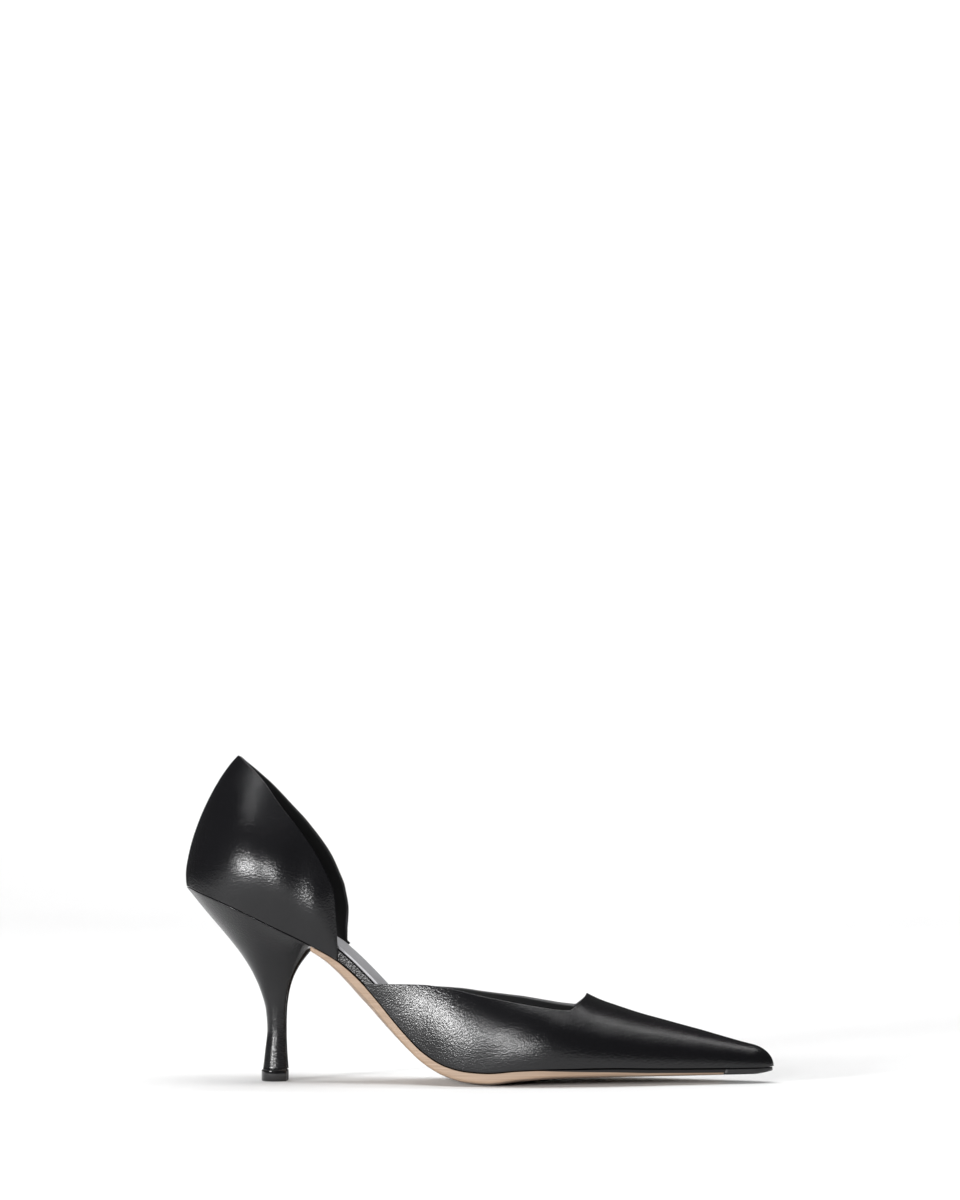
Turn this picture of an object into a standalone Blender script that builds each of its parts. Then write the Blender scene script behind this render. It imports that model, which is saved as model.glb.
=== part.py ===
"""A women's d'Orsay pump for the right foot, at its real size, standing empty on its heel and tread.

+X runs to the toe and +Z up. The outer side of the foot is at -Y. The origin is on the floor, at the
centre of the heel's top piece. Lengths along the shoe are measured from the back of the heel seat.
"""

from collections import namedtuple

import bmesh
import bpy
import numpy as np

MM = 0.001
SHOE = "dorsay_pump"

# The last
LENGTH = 255.0 * MM
SEAT_HEIGHT = 84.4 * MM
SEAT_WIDTH = 52.6 * MM
SEAT_CURVE = 30.0 * MM
WAIST_WIDTH = 41.5 * MM
BALL_WIDTH = 72.5 * MM
INSTEP_HEIGHT = 31.9 * MM
TOE_SPRING = 1.8 * MM
NOSE_LENGTH = 9.0 * MM
BOTTOM_CROWN = 0.066

# The upper
VAMP_WALL = 1.6 * MM
VAMP_LENGTH = 80.9 * MM
SIDE_HEIGHT = 43.2 * MM
THROAT_DIP = 5.8 * MM
THROAT_CORNER = 4.0 * MM
VAMP_BULGE = 0.09
QUARTER_WALL = 2.0 * MM
QUARTER_HEIGHT = 57.1 * MM
QUARTER_LEAN = 22.2 * MM
QUARTER_BULGE = 6.3 * MM
QUARTER_FRONT = 68.1 * MM
QUARTER_LIP = 5.6 * MM
INNER_EDGE_FORWARD = 1.7 * MM
INNER_WING_DROP = 2.7 * MM

# What lies under and inside the upper
INSOLE_THICKNESS = 3.0 * MM
WAIST_RAND = 5.4 * MM
INSOLE_DISH = 0.4
INSOLE_FRONT = 18.0 * MM
SOCK_THICKNESS = 0.8 * MM
SOCK_INSET = 1.2 * MM
SOLE_THICKNESS = 3.5 * MM
SOLE_INSET = 0.5 * MM
SOLE_BEVEL = 0.9 * MM
WAIST_BELLY = 3.5 * MM
TREAD_FLAT = 0.20 * MM
TOE_PIECE_LENGTH = 20.4 * MM
TOE_PIECE_SLANT = 1.4 * MM

# The heel
HEEL_SEAT_LENGTH = 55.8 * MM
HEEL_PITCH = 38.5 * MM
STEM_DEPTH = 7.9 * MM
STEM_BEHIND = 0.41
TOP_PIECE_LENGTH = 11.4 * MM
TOP_PIECE_HEIGHT = 4.9 * MM
TOP_PIECE_ROUND = 0.5 * MM

# Fits
GAP = 0.3 * MM
LASTING_GAP = 0.5 * MM

# How finely the layers under the foot are divided: along the shoe, and across it
STATIONS = 49
COLUMNS = 9

# The bottom of the last. rise: share of the way up from the ball to the seat. spring: share of the toe
# spring. sole: share of the sole's thickness. belly: share of the waist's rounding under its edges.
# rand: share of the insole's extra height at its edge.
Bottom = namedtuple("Bottom", "along rise spring sole belly rand")
BOTTOM = (
    Bottom(0.000, 1.000, 0.00, 0.55, 0.00, 0.00),
    Bottom(0.008, 0.997, 0.00, 0.55, 0.00, 0.00),
    Bottom(0.024, 0.978, 0.00, 0.55, 0.00, 0.00),
    Bottom(0.047, 0.951, 0.00, 0.55, 0.00, 0.00),
    Bottom(0.102, 0.875, 0.00, 0.55, 0.00, 0.00),
    Bottom(0.153, 0.795, 0.00, 0.55, 0.00, 0.06),
    Bottom(0.208, 0.707, 0.00, 0.55, 0.00, 0.40),
    Bottom(0.235, 0.661, 0.00, 0.65, 0.10, 0.56),
    Bottom(0.261, 0.612, 0.00, 0.95, 0.42, 0.58),
    Bottom(0.280, 0.565, 0.00, 1.12, 0.70, 0.50),
    Bottom(0.306, 0.486, 0.00, 1.28, 0.88, 0.48),
    Bottom(0.333, 0.387, 0.00, 1.28, 0.80, 0.62),
    Bottom(0.359, 0.284, 0.00, 1.22, 0.55, 0.72),
    Bottom(0.385, 0.189, 0.00, 1.16, 0.30, 0.58),
    Bottom(0.412, 0.106, 0.00, 1.10, 0.12, 0.34),
    Bottom(0.451, 0.034, 0.00, 1.06, 0.03, 0.12),
    Bottom(0.486, 0.007, 0.00, 1.14, 0.00, 0.00),
    Bottom(0.522, 0.000, 0.00, 1.14, 0.00, 0.00),
    Bottom(0.576, 0.000, 0.62, 0.98, 0.00, 0.00),
    Bottom(0.645, 0.000, 0.95, 0.80, 0.00, 0.00),
    Bottom(0.718, 0.000, 1.00, 0.78, 0.00, 0.00),
    Bottom(0.800, 0.000, 0.74, 0.70, 0.00, 0.00),
    Bottom(0.867, 0.000, 0.56, 0.64, 0.00, 0.00),
    Bottom(0.925, 0.000, 0.47, 0.62, 0.00, 0.00),
    Bottom(0.965, 0.000, 0.45, 0.62, 0.00, 0.00),
    Bottom(0.982, 0.000, 0.50, 0.50, 0.00, 0.00),
    Bottom(1.000, 0.000, 0.62, 0.28, 0.00, 0.00),
)

# The outline of the last's bottom seen from above: its half widths to the outer and the inner side,
# before the rounding of the seat and of the nose.
Plan = namedtuple("Plan", "along outer inner")
PLAN = (
    Plan(0.000, 0.500 * SEAT_WIDTH, 0.500 * SEAT_WIDTH),
    Plan(0.118, 0.500 * SEAT_WIDTH, 0.500 * SEAT_WIDTH),
    Plan(0.165, 0.495 * SEAT_WIDTH, 0.487 * SEAT_WIDTH),
    Plan(0.216, 0.460 * SEAT_WIDTH, 0.441 * SEAT_WIDTH),
    Plan(0.275, 0.540 * WAIST_WIDTH, 0.498 * WAIST_WIDTH),
    Plan(0.333, 0.536 * WAIST_WIDTH, 0.464 * WAIST_WIDTH),
    Plan(0.392, 0.345 * BALL_WIDTH, 0.274 * BALL_WIDTH),
    Plan(0.451, 0.427 * BALL_WIDTH, 0.326 * BALL_WIDTH),
    Plan(0.510, 0.481 * BALL_WIDTH, 0.400 * BALL_WIDTH),
    Plan(0.557, 0.500 * BALL_WIDTH, 0.462 * BALL_WIDTH),
    Plan(0.608, 0.496 * BALL_WIDTH, 0.497 * BALL_WIDTH),
    Plan(0.659, 0.466 * BALL_WIDTH, 0.500 * BALL_WIDTH),
    Plan(0.706, 0.421 * BALL_WIDTH, 0.478 * BALL_WIDTH),
    Plan(0.765, 0.349 * BALL_WIDTH, 0.426 * BALL_WIDTH),
    Plan(0.824, 0.268 * BALL_WIDTH, 0.357 * BALL_WIDTH),
    Plan(0.882, 0.187 * BALL_WIDTH, 0.283 * BALL_WIDTH),
    Plan(0.933, 0.115 * BALL_WIDTH, 0.213 * BALL_WIDTH),
    Plan(0.969, 0.066 * BALL_WIDTH, 0.161 * BALL_WIDTH),
    Plan(1.000, 0.034 * BALL_WIDTH, 0.127 * BALL_WIDTH),
)

# The ridge of the last above its bottom edge, as shares of the instep's height. Behind the throat it is
# the line that the cut-away sides would run up to.
Ridge = namedtuple("Ridge", "along height")
RIDGE = (
    Ridge(0.250, 1.40),
    Ridge(0.300, 1.50),
    Ridge(0.345, 1.66),
    Ridge(0.392, 1.78),
    Ridge(0.451, 1.80),
    Ridge(0.510, 1.63),
    Ridge(0.569, 1.40),
    Ridge(0.628, 1.18),
    Ridge(0.682, 0.965),
    Ridge(0.706, 0.872),
    Ridge(0.740, 0.780),
    Ridge(0.774, 0.699),
    Ridge(0.808, 0.632),
    Ridge(0.842, 0.563),
    Ridge(0.876, 0.495),
    Ridge(0.910, 0.420),
    Ridge(0.944, 0.345),
    Ridge(0.976, 0.285),
    Ridge(1.000, 0.255),
)

# The vamp's top edge at the sides: its height as a share of the side's height above the floor, and the
# inner side's share of its drop below the outer side.
Side = namedtuple("Side", "along height drop")
SIDE = (
    Side(0.250, 1.000, 1.00),
    Side(0.345, 0.998, 1.00),
    Side(0.380, 1.001, 1.00),
    Side(0.415, 0.998, 1.00),
    Side(0.440, 0.981, 0.85),
    Side(0.467, 0.956, 0.67),
    Side(0.504, 0.906, 0.40),
    Side(0.543, 0.860, 0.16),
    Side(0.577, 0.822, 0.00),
    Side(0.608, 0.790, 0.00),
    Side(0.637, 0.764, 0.00),
    Side(0.700, 0.735, 0.00),
)

# The quarter's back seam: how far up it is, and how far it leans to the toe.
Back = namedtuple("Back", "up lean")
BACK = (
    Back(0.00, 0.000),
    Back(0.05, -0.018),
    Back(0.10, -0.024),
    Back(0.15, -0.013),
    Back(0.21, 0.012),
    Back(0.33, 0.083),
    Back(0.45, 0.182),
    Back(0.57, 0.303),
    Back(0.69, 0.450),
    Back(0.82, 0.640),
    Back(0.935, 0.850),
    Back(1.00, 1.000),
)

# The quarter's cut edge, from its peak down to its front: how far forward, how far down, how far out, and
# the inner side's share of its own way forward.
Edge = namedtuple("Edge", "forward down out inner")
EdgeStep = namedtuple("EdgeStep", ("place",) + Edge._fields)
EDGE = (
    Edge(0.000, 0.000, 0.000, 0.00),
    Edge(0.022, 0.004, 0.060, -0.15),
    Edge(0.080, 0.030, 0.125, -0.45),
    Edge(0.200, 0.088, 0.210, -0.50),
    Edge(0.295, 0.144, 0.280, -0.20),
    Edge(0.442, 0.252, 0.370, 0.57),
    Edge(0.593, 0.353, 0.424, 0.85),
    Edge(0.785, 0.500, 0.470, 0.85),
    Edge(0.900, 0.617, 0.482, 0.50),
    Edge(0.962, 0.704, 0.476, 0.38),
    Edge(0.980, 0.802, 0.464, 0.75),
    Edge(0.993, 0.923, 0.446, 0.40),
    Edge(1.000, 1.000, 0.432, 0.00),
)

# The heel from its foot to its seat. up: share of the height to the seat's back or the breast's top.
# back and breast: shares of the way from the stem out to the seat's back and front. half: half width
# as a share of the seat's. front: the breast's width beside the widest. dish: the breast's hollow.
Heel = namedtuple("Heel", "back_up back breast_up breast half front dish")
HeelStep = namedtuple("HeelStep", ("level",) + Heel._fields)
HEEL = (
    Heel(0.000, 0.052, 0.000, 0.066, 0.228, 0.66, 0.03),
    Heel(0.100, 0.026, 0.150, 0.018, 0.206, 0.66, 0.03),
    Heel(0.215, 0.000, 0.310, 0.000, 0.188, 0.68, 0.04),
    Heel(0.320, 0.016, 0.460, 0.014, 0.204, 0.70, 0.06),
    Heel(0.425, 0.080, 0.600, 0.090, 0.252, 0.72, 0.09),
    Heel(0.525, 0.177, 0.715, 0.215, 0.335, 0.75, 0.11),
    Heel(0.625, 0.314, 0.810, 0.400, 0.455, 0.79, 0.12),
    Heel(0.735, 0.506, 0.885, 0.610, 0.605, 0.84, 0.11),
    Heel(0.865, 0.754, 0.950, 0.820, 0.795, 0.89, 0.07),
    Heel(1.000, 1.000, 1.000, 1.000, 1.000, 0.93, 0.00),
)


def smooth(table, name, along):
    """A column of a table as a smooth curve: cubics whose slopes never overshoot the rows."""
    rows = np.array([row[0] for row in table])
    values = np.array([getattr(row, name) for row in table])
    steps = np.diff(rows)
    slopes = np.diff(values) / steps
    before, after = slopes[:-1], slopes[1:]
    same = before * after > 0
    mean = 2 * before * after / np.where(same, before + after, 1.0)
    tangents = np.concatenate([slopes[:1], np.where(same, mean, 0.0), slopes[-1:]])
    along = np.clip(along, rows[0], rows[-1])
    k = np.clip(np.searchsorted(rows, along, side="right") - 1, 0, len(steps) - 1)
    t = (along - rows[k]) / steps[k]
    rise = values[k + 1] - values[k]
    start, end = tangents[k] * steps[k], tangents[k + 1] * steps[k]
    return values[k] + t * start + t**2 * (3 * rise - 2 * start - end) + t**3 * (start + end - 2 * rise)


def seat_round(x):
    """How far the seat's round back has opened out at x: a quarter of an ellipse."""
    return np.sqrt(1 - (1 - np.clip(x / SEAT_CURVE, 0, 1)) ** 2)


def nose_round(x):
    """How far the nose's rounding has closed in at x: a quarter of an ellipse."""
    return np.sqrt(1 - np.clip((x - (LENGTH - NOSE_LENGTH)) / NOSE_LENGTH, 0, 1) ** 2)


def plan(x):
    """The middle and the half width of the last's bottom at x."""
    outer, inner = smooth(PLAN, "outer", x / LENGTH), smooth(PLAN, "inner", x / LENGTH)
    return (inner - outer) / 2, (inner + outer) / 2 * seat_round(x) * nose_round(x)


def crown(x):
    """How far the last's bottom sinks from its edges to its middle."""
    return BOTTOM_CROWN * plan(x)[1]


def feather(x):
    """The height of the edge where the upper meets the sole."""
    at_ball = SOLE_THICKNESS + GAP + BOTTOM_CROWN * BALL_WIDTH / 2 - TREAD_FLAT
    rise, spring = smooth(BOTTOM, "rise", x / LENGTH), smooth(BOTTOM, "spring", x / LENGTH)
    return at_ball + (SEAT_HEIGHT - at_ball) * rise + TOE_SPRING * spring


def across(x, y):
    """0 in the middle of the last's bottom and 1 at its edges."""
    middle, half = plan(x)
    return np.clip(np.abs(y - middle) / np.maximum(half, MM), 0, 1)


def last_bottom(x, y):
    return feather(x) - crown(x) * (1 - across(x, y) ** 2.5)


def upright(x, distance):
    """How high a distance square to the last's bottom is when it is measured upright."""
    slope = (feather(x + MM) - feather(x - MM)) / (2 * MM)
    return distance * np.sqrt(1 + slope**2)


def seat_face(x, y):
    """The face that the sole and the heel turn to the last, a gap below it."""
    return last_bottom(x, y) - upright(x, GAP)


def outline(side, inset=0.0):
    """One side of the bottom's outline from the seat to the nose, moved inwards along its normals."""
    share = np.linspace(0, 1, 801)
    x = LENGTH * (1 - np.cos(np.pi * share)) / 2
    middle, half = plan(x)
    y = middle + side * half
    dx, dy = np.gradient(x), np.gradient(y)
    dx[0] = dx[-1] = 0.0
    size = np.hypot(dx, dy)
    return x + side * inset * dy / size, y - side * inset * dx / size


def outline_at(stations, side, inset=0.0):
    """The outline's points that started at these stations along the shoe."""
    x, y = outline(side, inset)
    share = np.arccos(1 - 2 * np.clip(stations / LENGTH, 0, 1)) / np.pi
    shares = np.linspace(0, 1, len(x))
    return np.interp(share, shares, x), np.interp(share, shares, y)


def stations(first, last):
    """Places along the shoe, closer together towards the seat's back and the nose. All layers share them."""
    shared = LENGTH * (1 - np.cos(np.linspace(0, np.pi, STATIONS))) / 2
    inside = shared[(shared > first + 0.6 * MM) & (shared < last - 0.4 * MM)]
    return np.concatenate([[first], inside, [last]])


def rungs(places, inset):
    """Lines straight across the outline, one for each station: x and y, from the outer to the inner side."""
    t = np.linspace(0, 1, COLUMNS)
    t = t - np.sin(2 * np.pi * t) / (4 * np.pi)
    outer, inner = outline_at(places, -1, inset), outline_at(places, 1, inset)
    return tuple(a[:, None] * (1 - t) + b[:, None] * t for a, b in zip(outer, inner))


def slab_rings(top, bottom):
    """Closed rings from the points of a top and a bottom surface, each given as x, y and z by rows."""
    return np.concatenate([np.stack(top, -1), np.stack(bottom, -1)[:, ::-1]], axis=1)


def ring_faces(rings, count):
    """Quads between each ring and the next."""
    i = np.arange(rings - 1)[:, None] * count
    j = np.arange(count)[None, :]
    after = (j + 1) % count
    return np.stack([i + j, i + j + count, i + after + count, i + after], -1).reshape(-1, 4).tolist()


def slab_faces(rings, count):
    """Quads round the rings, and a strip of quads between top and bottom over each end."""
    j = np.arange(count // 2 - 1)
    strip = np.stack([j, j + 1, count - 2 - j, count - 1 - j], -1)
    end = strip[:, ::-1] + (rings - 1) * count
    return ring_faces(rings, count) + strip.tolist() + end.tolist()


def on_floor(points):
    """Moves points so that the origin is on the floor under the middle of the heel's top piece."""
    return np.asarray(points).reshape(-1, 3) - (HEEL_PITCH, 0, 0)


def add_part(name, points, faces, material, closed=True):
    """An object in the shoe's collection, its round faces smooth. A closed one has its faces turned outwards."""
    mesh = bpy.data.meshes.new(name)
    mesh.from_pydata(on_floor(points).tolist(), [], faces)
    work = bmesh.new()
    work.from_mesh(mesh)
    bmesh.ops.remove_doubles(work, verts=work.verts, dist=0.001 * MM)
    if closed:
        bmesh.ops.recalc_face_normals(work, faces=work.faces)
        if work.calc_volume(signed=True) < 0:
            bmesh.ops.reverse_faces(work, faces=work.faces)
    work.to_mesh(mesh)
    work.free()
    mesh.materials.append(material)
    mesh.shade_smooth()
    mesh.set_sharp_from_angle(angle=np.radians(40))
    made = bpy.data.objects.new(name, mesh)
    bpy.data.collections[SHOE].objects.link(made)
    return made


def give_wall(made, thickness):
    """Turns an open surface into a wall, inwards from the surface."""
    wall = made.modifiers.new("wall", "SOLIDIFY")
    wall.thickness = thickness
    wall.offset = -1
    wall.use_even_offset = True
    wall.use_rim = True


def new_material(name, colour, roughness):
    material = bpy.data.materials.new(name)
    material.use_nodes = True
    shader = material.node_tree.nodes["Principled BSDF"]
    shader.inputs["Base Color"].default_value = (*colour, 1)
    shader.inputs["Roughness"].default_value = roughness
    return material


def side_top(x, side):
    """The height of the vamp's top edge along the sides. The inner side is lower towards the waist."""
    drop = INNER_WING_DROP * smooth(SIDE, "drop", x / LENGTH) * (side > 0)
    return SIDE_HEIGHT * smooth(SIDE, "height", x / LENGTH) - drop


def side_angle(x, side):
    """The arch's angle at the side's top edge."""
    height = INSTEP_HEIGHT * smooth(RIDGE, "height", x / LENGTH)
    return np.arcsin(np.clip((side_top(x, side) - feather(x)) / height, 0, 1))


def vamp_stations(side):
    """Stations from a wing's end to the nose with the arch's top angle at each."""
    throat = LENGTH - VAMP_LENGTH
    corner = throat - THROAT_DIP
    search = np.linspace(0.25 * LENGTH, 0.45 * LENGTH, 400)
    end = search[np.argmax(side_top(search, side) > feather(search) + MM)]
    wings = np.linspace(end, corner - THROAT_CORNER, 20)
    turn = corner - np.array([0.55, 0.25, 0.08]) * THROAT_CORNER
    share = np.array([0.97, 0.88, 0.74, 0.58, 0.40, 0.22])
    dip = throat - THROAT_DIP * share**3
    toe = throat + (LENGTH - throat) * np.sin(np.linspace(0, np.pi / 2, 18))
    dip_angle = np.arccos(np.cos(side_angle(np.array([corner]), side)) * share)
    x = np.concatenate([wings, turn, dip, toe])
    sides = side_angle(np.concatenate([wings, turn]), side)
    angle = np.concatenate([sides, dip_angle, np.full(len(toe), np.pi / 2)])
    return x, angle


def vamp_surface(side):
    """The vamp: over each station an arch, upright where it leaves the sole and flat at the ridge."""
    x, top = vamp_stations(side)
    x, angle = x[:, None], top[:, None] * np.linspace(0, 1, 10)
    middle, half = plan(x)
    height = INSTEP_HEIGHT * smooth(RIDGE, "height", x / LENGTH) * nose_round(x)
    out = np.cos(angle) * (1 + VAMP_BULGE * np.sin(2 * angle))
    return np.stack([x + 0 * angle, middle + side * half * out, feather(x) + height * np.sin(angle)], -1)


def grid_faces(rows, columns, first=0):
    i = np.arange(rows - 1)[:, None] * columns + first
    j = np.arange(columns - 1)[None, :]
    return np.stack([i + j, i + j + 1, i + j + 1 + columns, i + j + columns], -1).reshape(-1, 4).tolist()


def both_sides(surface):
    """Points and faces of a surface that is worked out for the outer and then for the inner side."""
    outer, inner = surface(-1), surface(1)
    rows, columns = outer.shape[:2]
    first = [face[::-1] for face in grid_faces(rows, columns)]
    second = grid_faces(rows, columns, rows * columns)
    return np.concatenate([outer.reshape(-1, 3), inner.reshape(-1, 3)]), first + second


def make_vamp(material):
    """The front of the upper: closed over the toes, with a squared throat and a wing along each side."""
    points, faces = both_sides(vamp_surface)
    vamp = add_part("upper_vamp", points, faces, material, closed=False)
    give_wall(vamp, VAMP_WALL)


def even_steps(points, count):
    """The same line of points with evenly long steps."""
    length = np.concatenate([[0], np.cumsum(np.linalg.norm(np.diff(points, axis=0), axis=1))])
    places = np.linspace(0, length[-1], count)
    return np.stack([np.interp(places, length, column) for column in points.T], -1)


def quarter_edge(side, count):
    """The quarter's cut edge from the peak to the front, read smoothly along its rows."""
    base = feather(0.0)
    rows = np.array(EDGE)
    down = base + QUARTER_HEIGHT - (feather(QUARTER_FRONT) + QUARTER_LIP)
    reach = (QUARTER_FRONT - QUARTER_LEAN, down, SEAT_WIDTH)
    step = np.linalg.norm(np.diff(rows[:, :3] * reach, axis=0), axis=1)
    length = np.concatenate([[0], np.cumsum(step)]) / step.sum()
    table = [EdgeStep(share, *row) for share, row in zip(length, rows)]
    place = np.linspace(0, 1, 400)
    x = QUARTER_LEAN + reach[0] * smooth(table, "forward", place)
    z = base + QUARTER_HEIGHT - down * smooth(table, "down", place)
    y = side * SEAT_WIDTH * smooth(table, "out", place)
    x = x + INNER_EDGE_FORWARD * smooth(table, "inner", place) * (side > 0)
    return even_steps(np.stack([x, y, z], -1), count)


def quarter_surface(side, columns=23, rows=13):
    """The quarter: the patch blended between its four edges, pushed outwards where the heel is full."""
    x, y = outline(side)
    inside = x <= QUARTER_FRONT
    low = even_steps(np.stack([x, y, feather(x)], -1)[inside], columns)
    high = quarter_edge(side, columns)
    v = np.linspace(0, 1, rows)
    up = v * v * (3 - 2 * v) * 0.3 + v * 0.7
    back = np.stack([QUARTER_LEAN * smooth(BACK, "lean", up), 0 * v, QUARTER_HEIGHT * up], -1)
    back = back + (0, 0, feather(0.0))
    u, up = np.linspace(0, 1, columns)[:, None, None], up[None, :, None]
    chord = low[0] + (high[0] - low[0]) * up
    patch = low[:, None] * (1 - up) + high[:, None] * up + (1 - u) * (back[None] - chord)
    full = np.sin(np.pi * up[..., 0] ** 1.15) * np.abs(low[:, None, 1]) / (SEAT_WIDTH / 2)
    patch[..., 1] += side * QUARTER_BULGE * full * (1 - u[..., 0] ** 3)
    return patch


def make_quarter(material):
    """The back of the upper: a cup round the heel that rises to a point and is cut away to the waist."""
    points, faces = both_sides(quarter_surface)
    quarter = add_part("upper_quarter", points, faces, material, closed=False)
    give_wall(quarter, QUARTER_WALL)


def insole_top(x, y):
    """The insole's upper face: thin in the seat and the forepart, deep and hollow at the waist."""
    raised = smooth(BOTTOM, "rand", x / LENGTH) * WAIST_RAND
    return last_bottom(x, y) + INSOLE_THICKNESS + raised * (1 - INSOLE_DISH * (1 - across(x, y) ** 2))


def make_insole(material):
    inset = QUARTER_WALL + LASTING_GAP
    x, y = rungs(stations(0.4 * MM, LENGTH - INSOLE_FRONT), inset)
    rings = slab_rings((x, y, insole_top(x, y)), (x, y, last_bottom(x, y)))
    add_part("insole", rings, slab_faces(*rings.shape[:2]), material)


def make_sock(material):
    """The thin lining that covers the insole."""
    inset = QUARTER_WALL + LASTING_GAP + SOCK_INSET
    x, y = rungs(stations(0.4 * MM, LENGTH - INSOLE_FRONT - SOCK_INSET), inset)
    low = insole_top(x, y) + upright(x, GAP)
    rings = slab_rings((x, y, low + upright(x, SOCK_THICKNESS)), (x, y, low))
    add_part("sock_lining", rings, slab_faces(*rings.shape[:2]), material)


def sole_bottom(x, y):
    """The sole's lower face: its thickness under the last, rounder at the waist, worn flat on the floor."""
    thick = SOLE_THICKNESS * smooth(BOTTOM, "sole", x / LENGTH)
    belly = WAIST_BELLY * smooth(BOTTOM, "belly", x / LENGTH) * (1 - across(x, y) ** 2)
    return np.maximum(seat_face(x, y) - thick - belly, 0)


def sole_slab(name, places, back_slant, front_slant, material):
    """A stretch of the sole. Its lower face is narrower, and its ends can slant back."""
    x, y = rungs(places, SOLE_INSET)
    low_x, low_y = rungs(places, SOLE_INSET + SOLE_BEVEL)
    low_x[0] -= back_slant
    low_x[-1] -= front_slant
    top = (x, y, seat_face(x, y))
    rings = slab_rings(top, (low_x, low_y, sole_bottom(low_x, low_y)))
    add_part(name, rings, slab_faces(*rings.shape[:2]), material)


def make_sole(leather, rubber):
    """The leather sole from the heel's breast to its slanted joint with the rubber toe piece."""
    joint = LENGTH - TOE_PIECE_LENGTH
    places = stations(HEEL_SEAT_LENGTH + 2 * GAP, joint)
    sole_slab("outsole", places, 0, TOE_PIECE_SLANT, leather)
    places = stations(joint + GAP, LENGTH - 0.05 * MM)
    sole_slab("toe_piece", places, TOE_PIECE_SLANT, 0, rubber)


def heel_rows(levels):
    """Where the heel's back and breast are at each level: their x and z."""
    foot = TOP_PIECE_HEIGHT + GAP
    stem_back = HEEL_PITCH - STEM_BEHIND * STEM_DEPTH
    stem_front = stem_back + STEM_DEPTH
    table = [HeelStep(k / (len(HEEL) - 1), *row) for k, row in enumerate(HEEL)]
    read = {name: smooth(table, name, levels) for name in Heel._fields}
    back_x = stem_back + (GAP - stem_back) * read["back"]
    back_z = foot + (feather(0.0) - GAP - foot) * read["back_up"]
    front_x = stem_front + (HEEL_SEAT_LENGTH - stem_front) * read["breast"]
    front_z = foot + (feather(HEEL_SEAT_LENGTH) - GAP - foot) * read["breast_up"]
    return (back_x, back_z), (front_x, front_z), read


def heel_sections(levels, sides=13, breast=6):
    """The heel's sections. Each has the seat's own outline, drawn in towards the stem, with a hollow breast."""
    (back_x, back_z), (front_x, front_z), read = heel_rows(levels)
    seat_back, seat_front = feather(0.0) - GAP, feather(HEEL_SEAT_LENGTH) - GAP
    turn = np.linspace(0, 1, sides)
    share = 1 - np.cos(turn * np.pi / 2)
    share = share * 0.5 + 0.5 * turn**2
    seat_x = GAP + share * (HEEL_SEAT_LENGTH - GAP)
    drawn = np.clip((share - 0.5) * 2, 0, 1) ** 2
    flat = np.linspace(-1, 1, breast + 1)[1:-1]
    rings = []
    for k in range(len(levels)):
        narrow = 1 - drawn * (1 - read["front"][k] / HEEL[-1].front)
        middle, half = plan(seat_x)
        half = (half - GAP * (share > 0)) * read["half"][k] * narrow
        half[0] = 0.0
        outer, inner = middle * read["half"][k] - half, middle * read["half"][k] + half
        hollow = 1 - read["dish"][k] * (1 - flat**2)
        along = np.concatenate([share, hollow, share[:0:-1]])
        breast_y = outer[-1] + (inner[-1] - outer[-1]) * (flat + 1) / 2
        y = np.concatenate([outer, breast_y, inner[:0:-1]])
        x = back_x[k] + along * (front_x[k] - back_x[k])
        z = back_z[k] + along * (front_z[k] - back_z[k])
        below = np.concatenate([seat_x, np.full(breast - 1, HEEL_SEAT_LENGTH), seat_x[:0:-1]])
        curved = seat_face(below, y / read["half"][k])
        straight = seat_back + along * (seat_front - seat_back)
        z = z + (curved - straight) * levels[k] ** 8
        rings.append(np.stack([x, y, z], -1))
    return np.array(rings)


def heel_seat(ring, sides, breast, first):
    """The heel's hollow top: lines of points across it, from the ring's outer side to its inner side."""
    count = len(ring)
    points, faces = [], []
    t = np.linspace(0, 1, breast + 1)[1:-1, None]
    previous = None
    for j in range(1, sides):
        a, b = j, (count - j) % count
        if j == sides - 1:
            line = list(range(a, a + breast)) + [b]
        else:
            between = ring[a] * (1 - t) + ring[b] * t
            between[:, 2] = seat_face(between[:, 0], between[:, 1])
            line = [a] + list(range(count + len(points), count + len(points) + breast - 1)) + [b]
            points.extend(between)
        if previous is None:
            faces += [[0, line[k], line[k + 1]] for k in range(breast)]
        else:
            faces += [[previous[k], line[k], line[k + 1], previous[k + 1]] for k in range(breast)]
        previous = line
    return np.array(points), [[first + index for index in face] for face in faces]


def make_heel(material):
    """The covered heel: a curved stem that flares to its foot and opens out under the seat."""
    sides, breast = 13, 6
    levels = np.linspace(0, 1, 20)
    rings = heel_sections(levels, sides, breast)
    count = rings.shape[1]
    first = (len(levels) - 1) * count
    seat, seat_faces = heel_seat(rings[-1], sides, breast, first)
    points = np.concatenate([rings.reshape(-1, 3), seat])
    faces = ring_faces(len(levels), count) + [list(range(count))[::-1]] + seat_faces
    add_part("heel", points, faces, material)


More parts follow.
